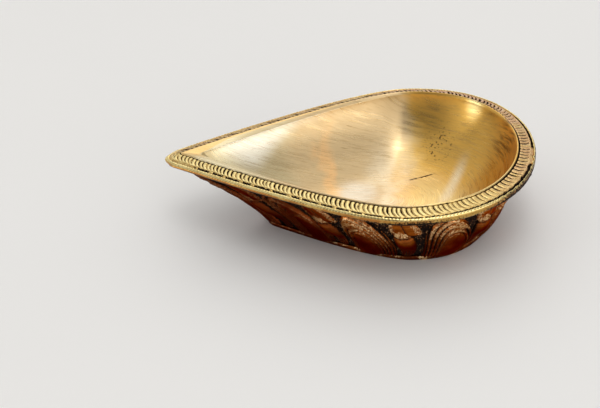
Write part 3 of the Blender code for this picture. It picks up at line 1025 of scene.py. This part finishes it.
def build_wall(material):
    """The wall behind the relief, stippled and blackened, with its hollow inside."""
    places = np.broadcast_to(places_round(WALL_COLUMNS), (WALL_ROWS, WALL_COLUMNS))
    levels = np.linspace(0, 1, WALL_ROWS)
    grain = np.random.default_rng(40).normal(0, 0.07, places.shape)
    grain[0] = grain[-1] = 0
    outer = wall_points(places, levels, grain)
    inner = []
    for level in np.linspace(1, 0, INNER_WALL_ROWS):
        outline, z = wall_outline(level, SHELL)
        inner.append(outline.at(places[0], z))
    rings = np.concatenate((outer, np.array(inner)))
    strip = 1 - smooth(levels, 0.05, 0.12)
    patina_and_shade = np.ones(rings.shape[:2])
    patina_and_shade[:WALL_ROWS] = 0.95 - 0.25 * strip[:, None] - 3.6 * np.clip(grain, 0, 1)
    worn_and_highlight = np.zeros(rings.shape[:2])
    worn_and_highlight[:WALL_ROWS] = np.clip(grain * 9, 0, 1)
    marks = {"patina_and_shade": patina_and_shade, "worn_and_highlight": worn_and_highlight, "rough": np.ones(rings.shape[:2])}
    return loft("body_relief", rings, True, material, ["body_wall"], marks)


def relief_piece(name, node, place, patch, material, shape, seed, **form):
    """A raised patch on the wall in the form of an arch.

    Shape takes the place across, from -1 to 1 at the arch's own edge, the climb, from 0 at the
    foot to 1 at its top, and random grain. It gives height, patina, wear with painted highlights
    and rough. Form is what else the shape takes.
    """
    rows, across = patch.rows, patch.across
    climb = np.linspace(HIGHEST_CLIMB, 0.0, rows)
    width = patch.half_share * (1 - climb**ARCH_POWER) ** 0.5
    width = width * (1 - patch.waist * (1 - climb) ** 2)
    even = np.linspace(-1, 1, across)
    share = np.sin(even * math.pi / 2) * 0.35 + even * 0.65
    levels = patch.foot + (patch.top - patch.foot) * climb
    places = place + width[:, None] * share
    grain = np.random.default_rng(seed).normal(0, 1, places.shape)
    grids = np.broadcast_arrays(share, climb[:, None])
    height, patina_and_shade, worn_and_highlight, rough = shape(*grids, grain, **form)
    surface = wall_points(places, levels, height)
    seat = wall_points(places, levels, np.full(places.shape, -SEAT_DEPTH))
    corner = np.arange(rows * across).reshape(rows, across)
    border = np.concatenate((corner[0, :-1], corner[:-1, -1], corner[-1, :0:-1], corner[:0:-1, 0]))
    middle = seat.mean(axis=(0, 1)) * (1, 0.97, 1)
    points = np.concatenate((surface.reshape(-1, 3), seat.reshape(-1, 3)[border], [middle]))
    quads = (corner[:-1, :-1], corner[:-1, 1:], corner[1:, 1:], corner[1:, :-1])
    skirt = rows * across + np.arange(len(border))
    next_skirt = np.roll(skirt, -1)
    sides = np.stack((border, skirt, next_skirt, np.roll(border, -1)), axis=-1)
    quads = np.concatenate((np.stack(quads, axis=-1).reshape(-1, 4), sides))
    hub = np.full(len(border), len(points) - 1)
    fan = np.stack((next_skirt, skirt, hub), axis=-1).tolist()
    marks = {}
    for mark, values, edge in (("patina_and_shade", patina_and_shade, 1.0), ("worn_and_highlight", worn_and_highlight, 0.0), ("rough", rough, 1.0)):
        values = np.clip(values.ravel(), 0, 1)
        marks[mark] = np.concatenate((values, np.full(len(border) + 1, edge)))
    return make_piece(name, points, quads, fan, material, [node], marks)


def petal(share, climb, grain, ripple, size=1.6, lean=0.0):
    """A smooth panel that leans to one side, with nested ridges sweeping round the other.

    Ripple is the seed of the ridges' own unevenness.
    """
    arch = climb**ARCH_POWER
    lateral = share * (1 - arch) ** 0.5
    edge = np.sqrt(lateral**2 + arch)
    radius = np.sqrt((lateral - lean) ** 2 + arch)
    radius = radius + 0.012 * wobble(climb + lateral, 9, ripple, 3)
    ridge = np.abs(np.sin(np.pi * (radius - PETAL_PANEL) / RIDGE_PITCH)) ** 0.75
    outside = smooth(radius, PETAL_PANEL - 0.01, PETAL_PANEL + 0.01)
    dome = np.clip(1 - (radius / PETAL_PANEL) ** 2, 0, 1)
    height = np.where(radius < PETAL_PANEL, 0.66 + 0.42 * dome**0.7, 0.10 + 0.74 * ridge)
    rim_fall = smooth(edge, 0.95, 1.0)
    ridged = smooth(-lateral * np.sign(lean), -0.25, 0.15) if lean else 1.0
    shoulder = smooth(climb, 0.52, 0.70) * (1 - ridged)
    height = size * height * (1 - 0.75 * rim_fall)
    height = np.maximum(height, size * 0.8 * shoulder * (1 - rim_fall))
    frost = smooth(climb, 0.45, 0.8) * smooth(radius, 0.62, 0.8) * ridged
    height = height + 0.12 * grain * frost
    hollow = smooth(1 - ridge, 0.18, 0.55) * outside * (1 - 0.9 * shoulder)
    patina_and_shade = hollow + 0.5 * rim_fall - 0.15 - 0.2 * frost * grain
    worn_and_highlight = 0.25 * outside * smooth(ridge, 0.8, 1.0) + frost * (0.10 + 0.32 * grain)
    # The upper part of each petal and its shoulder are paler: a painted highlight, laid with the
    # rubbed wear.
    worn_and_highlight = worn_and_highlight + (0.30 * smooth(climb, 0.40, 0.75) + 0.18 * shoulder) * (1 - hollow)
    return height, patina_and_shade, np.clip(worn_and_highlight, 0, 1) * (1 - rim_fall), 0.10 + frost


def bud(share, climb, grain):
    """A round bud over a narrow reeded stem, with a stippled cap."""
    roll = np.sqrt(np.clip(1 - share**2, 0, 1))
    reeds = np.abs(np.sin(np.pi * 2.5 * (share + 1))) ** 0.6
    stem = 1 - smooth(climb, 0.22, 0.38)
    height = 0.22 + 0.78 * bump_at(climb, 0.62, 0.30)
    height = 2.5 * roll * height * (1 - stem * 0.35 * (1 - reeds))
    cap = smooth(climb, 0.78, 0.86)
    neck = bump_at(climb, 0.79, 0.025)
    height = height - 0.35 * neck + 0.12 * grain * cap
    patina_and_shade = stem * (1 - reeds) + 0.6 * neck + 0.8 * smooth(np.abs(share), 0.82, 1.0)
    worn_and_highlight = cap * (0.7 + 0.5 * grain) + 0.3 * stem * reeds**3
    return height, patina_and_shade, worn_and_highlight, 0.10 + cap


def leaf(share, climb, grain):
    """A small frilled leaf behind a bud."""
    side = np.abs(share)
    frill = np.abs(np.sin(np.pi * (6 * climb + 1.2 * side)))
    height = 1.15 * (1 - 0.45 * side**2) - 0.25 * smooth(side, 0.55, 0.8) * frill
    height = height - 0.3 * bump_at(share, 0.0, 0.08) + 0.08 * grain * smooth(side, 0.5, 0.8)
    height = height * (1 - 0.7 * smooth(side, 0.94, 1.0)) * (1 - 0.5 * smooth(climb, 0.85, 1.0))
    patina_and_shade = 0.8 * bump_at(share, 0.0, 0.07) + 0.5 * smooth(side, 0.9, 1.0)
    worn_and_highlight = smooth(side, 0.5, 0.75) * (0.45 + 0.4 * grain)
    return height, patina_and_shade, worn_and_highlight, 0.15 + smooth(side, 0.5, 0.7)


def build_relief(material):
    """Petals that lean to one side and the other in turn, with buds and leaves between them."""
    for number, place in enumerate(PETAL_PLACES, 1):
        name, node = f"petal_{number:02d}", f"lotus_petal_{number:02d}"
        seed = 100 + number
        lean = PETAL_LEAN * (-1) ** (number + 1)
        relief_piece(name, node, place, PETAL, material, petal, seed, ripple=seed, lean=lean)
    for number, place in enumerate(BUD_PLACES, 1):
        name, node = f"bud_{number:02d}", f"lotus_bud_{number:02d}"
        relief_piece(name, node, place - 0.003, BUD, material, bud, 200 + number)
        name, node = f"leaf_{number:02d}", f"back_leaf_{number:02d}"
        relief_piece(name, node, place + 0.003, LEAF, material, leaf, 300 + number)
    relief_piece("keel", "keel_petal", 0.0, KEEL, material, petal, 150, ripple=150, size=1.5)


FOOT_COLUMNS = 480
FOOT_PROFILE = (
    # out from the foot's outline, height above the ground
    (-1.2, 0.0),
    (-0.35, 0.0),
    (-0.12, 0.08),
    (0.0, 0.28),
    (0.04, 0.7),
    (0.0, 1.15),
    (-0.12, 1.42),
    (-0.4, 1.58),
    (-1.4, 1.6),
)


def build_foot(material):
    places = places_round(FOOT_COLUMNS, 0.4)
    turn = places_round(FOOT_COLUMNS)
    proud = FOOT_OUTLINE.grown(FOOT_PROUD)
    rings, worn_and_highlight, patina_and_shade = [], [], []
    for grow, z in FOOT_PROFILE:
        ring = proud.grown(grow).at(places, z)
        if 0.2 < z < 1.5:
            ring[:, :2] *= (1 - 0.0012 * (1 + wobble(turn, 70, 61, 20)))[:, None]
        rings.append(ring)
        # The foot's upper edge is paler: rubbed wear and a painted highlight along the edge.
        rubbed_and_highlight = 0.35 if -0.2 < grow and z > 1 else 0.0
        worn_and_highlight.append(np.clip(rubbed_and_highlight + 0.5 * wobble(turn, 50, 63, 6), 0, 1))
        patina_and_shade.append(np.full(FOOT_COLUMNS, 0.75 if z > 1.5 and grow < -1 else 0.12))
    rough = np.full((len(FOOT_PROFILE), FOOT_COLUMNS), 0.3)
    marks = {"worn_and_highlight": worn_and_highlight, "patina_and_shade": patina_and_shade, "rough": rough}
    return loft("foot", np.array(rings), False, material, ["foot_plate"], marks)


# ---------------- stage, light and camera

CAMERA_AZIMUTH, CAMERA_ELEVATION, CAMERA_ROLL = 5.98, 32.0, -5.0
CAMERA_LENS = 78.0
# How far the camera is to the right of, above and back from the outlines' origin at the rim's
# height, along its own axes.
CAMERA_OFFSET = (-14.204, -19.252, 444.05)
FLOOR_REACH = 1.6


def add_stage():
    mesh = bpy.data.meshes.new("floor")
    corners = [(x * FLOOR_REACH, y * FLOOR_REACH, 0) for x, y in ((-1, -1), (1, -1), (1, 1), (-1, 1))]
    mesh.from_pydata(corners, [], [(0, 1, 2, 3)])
    mesh.materials.append(pale_floor())
    floor = add_object("floor", mesh)


def add_softbox(name, azimuth, elevation, distance, size, radiance):
    """A rectangular area light that faces the lamp from this direction."""
    light = bpy.data.lights.new(name, "AREA")
    light.shape = "RECTANGLE"
    light.size, light.size_y = size
    light.energy = radiance * math.pi * size[0] * size[1]
    lamp = add_object(name, light)
    towards = direction_from(azimuth, elevation)
    lamp.location = towards * distance
    lamp.rotation_euler = towards.to_track_quat("Z", "Y").to_euler()


def direction_from(azimuth, elevation):
    """The unit vector towards this direction; azimuth 0 is at -Y and 90 at +X."""
    a, e = math.radians(azimuth), math.radians(elevation)
    return Vector((math.sin(a) * math.cos(e), -math.cos(a) * math.cos(e), math.sin(e)))


ROOM_RADIANCE = 0.78
GLOWS = (
    # azimuth, elevation, radius of its even middle, radius where it ends, radiance it adds
    (-22, 33, 12, 38, -0.55),
    (-100, 48, 10, 46, -0.22),
    (96, 54, 8, 34, -0.12),
    (53, 6, 9, 23, 1.25),
    (33, 30, 7, 18, 0.30),
    (24, 52, 7, 18, 0.65),
    (24, 72, 7, 18, 0.90),
    (176, 78, 7, 18, 0.75),
    (181, 57, 7, 16, 0.45),
    (179, 35, 7, 18, 0.85),
    (-76, 4, 5, 15, 2.6),
    (62, 36, 4, 22, -0.14),
    (102, 60, 3, 12, 0.32),
    (-86, 20, 4, 15, -0.25),
    (-155, 48, 5, 16, 0.20),
    (36, 2, 4, 12, 0.5),
)


def add_world():
    """A pale room with soft glowing panels, and a dark place where the photographer stands."""
    world = bpy.data.worlds.new("studio")
    world.use_nodes = True
    tree = world.node_tree
    place = add_node(tree, "TexCoord")
    strength = ROOM_RADIANCE
    for azimuth, elevation, middle, end, radiance in GLOWS:
        inputs = {0: place, 1: direction_from(azimuth, elevation)}
        cosine = add_node(tree, "VectorMath", inputs, output=1, operation="DOT_PRODUCT")
        edges = (math.cos(math.radians(angle)) for angle in (end, middle))
        glow = ramp(tree, cosine, *edges, 0.0, radiance)
        strength = plus(tree, strength, glow)
    inputs = {"Color": (1.0, 0.98, 0.95, 1), "Strength": strength}
    set_inputs(tree, tree.nodes["Background"], inputs)
    bpy.context.scene.world = world


def add_camera():
    back = direction_from(CAMERA_AZIMUTH, CAMERA_ELEVATION)
    right = (-back).cross(Vector((0, 0, 1))).normalized()
    up = right.cross(-back)
    roll = math.radians(CAMERA_ROLL)
    axis_x = right * math.cos(roll) + up * math.sin(roll)
    axis_y = up * math.cos(roll) - right * math.sin(roll)
    side, rise, distance = CAMERA_OFFSET
    rim_middle = Vector((-CENTRE_X, 0, RIM_HEIGHT))
    place = back * distance + axis_x * side + axis_y * rise + rim_middle
    data = bpy.data.cameras.new("camera")
    data.lens = CAMERA_LENS
    camera = add_object("camera", data)
    turn = Matrix((axis_x, axis_y, back)).transposed().to_4x4()
    camera.matrix_world = Matrix.Translation(place * MM) @ turn
    bpy.context.scene.camera = camera


# ---------------- the whole lamp

# Each brass's pale, deep and coppery tones; on the lip's side the coppery tone is painted shade.
CHASED_TONES = ((0.82, 0.62, 0.25), (0.58, 0.37, 0.12), (0.74, 0.42, 0.25))
POLISHED_TONES = ((0.76, 0.53, 0.18), (0.50, 0.30, 0.06), (0.42, 0.17, 0.04))


def build():
    bpy.context.scene.view_settings.view_transform = "Standard"
    add_camera()
    add_world()
    add_softbox("top_softbox", 30, 74, 1.2, (0.35, 0.5), 1.6)
    add_stage()
    build_basin(brushed_brass())
    build_band(rim_brass("chased_brass", CHASED_TONES, (0.9, 0.9), 0.26, 0.05))
    build_lip(rim_brass("polished_brass", POLISHED_TONES, (0.12, 4.0), 0.15, 0.02))
    antique = antique_brass()
    build_wall(antique)
    build_relief(antique)
    build_foot(antique)
    bpy.context.view_layer.update()


build()
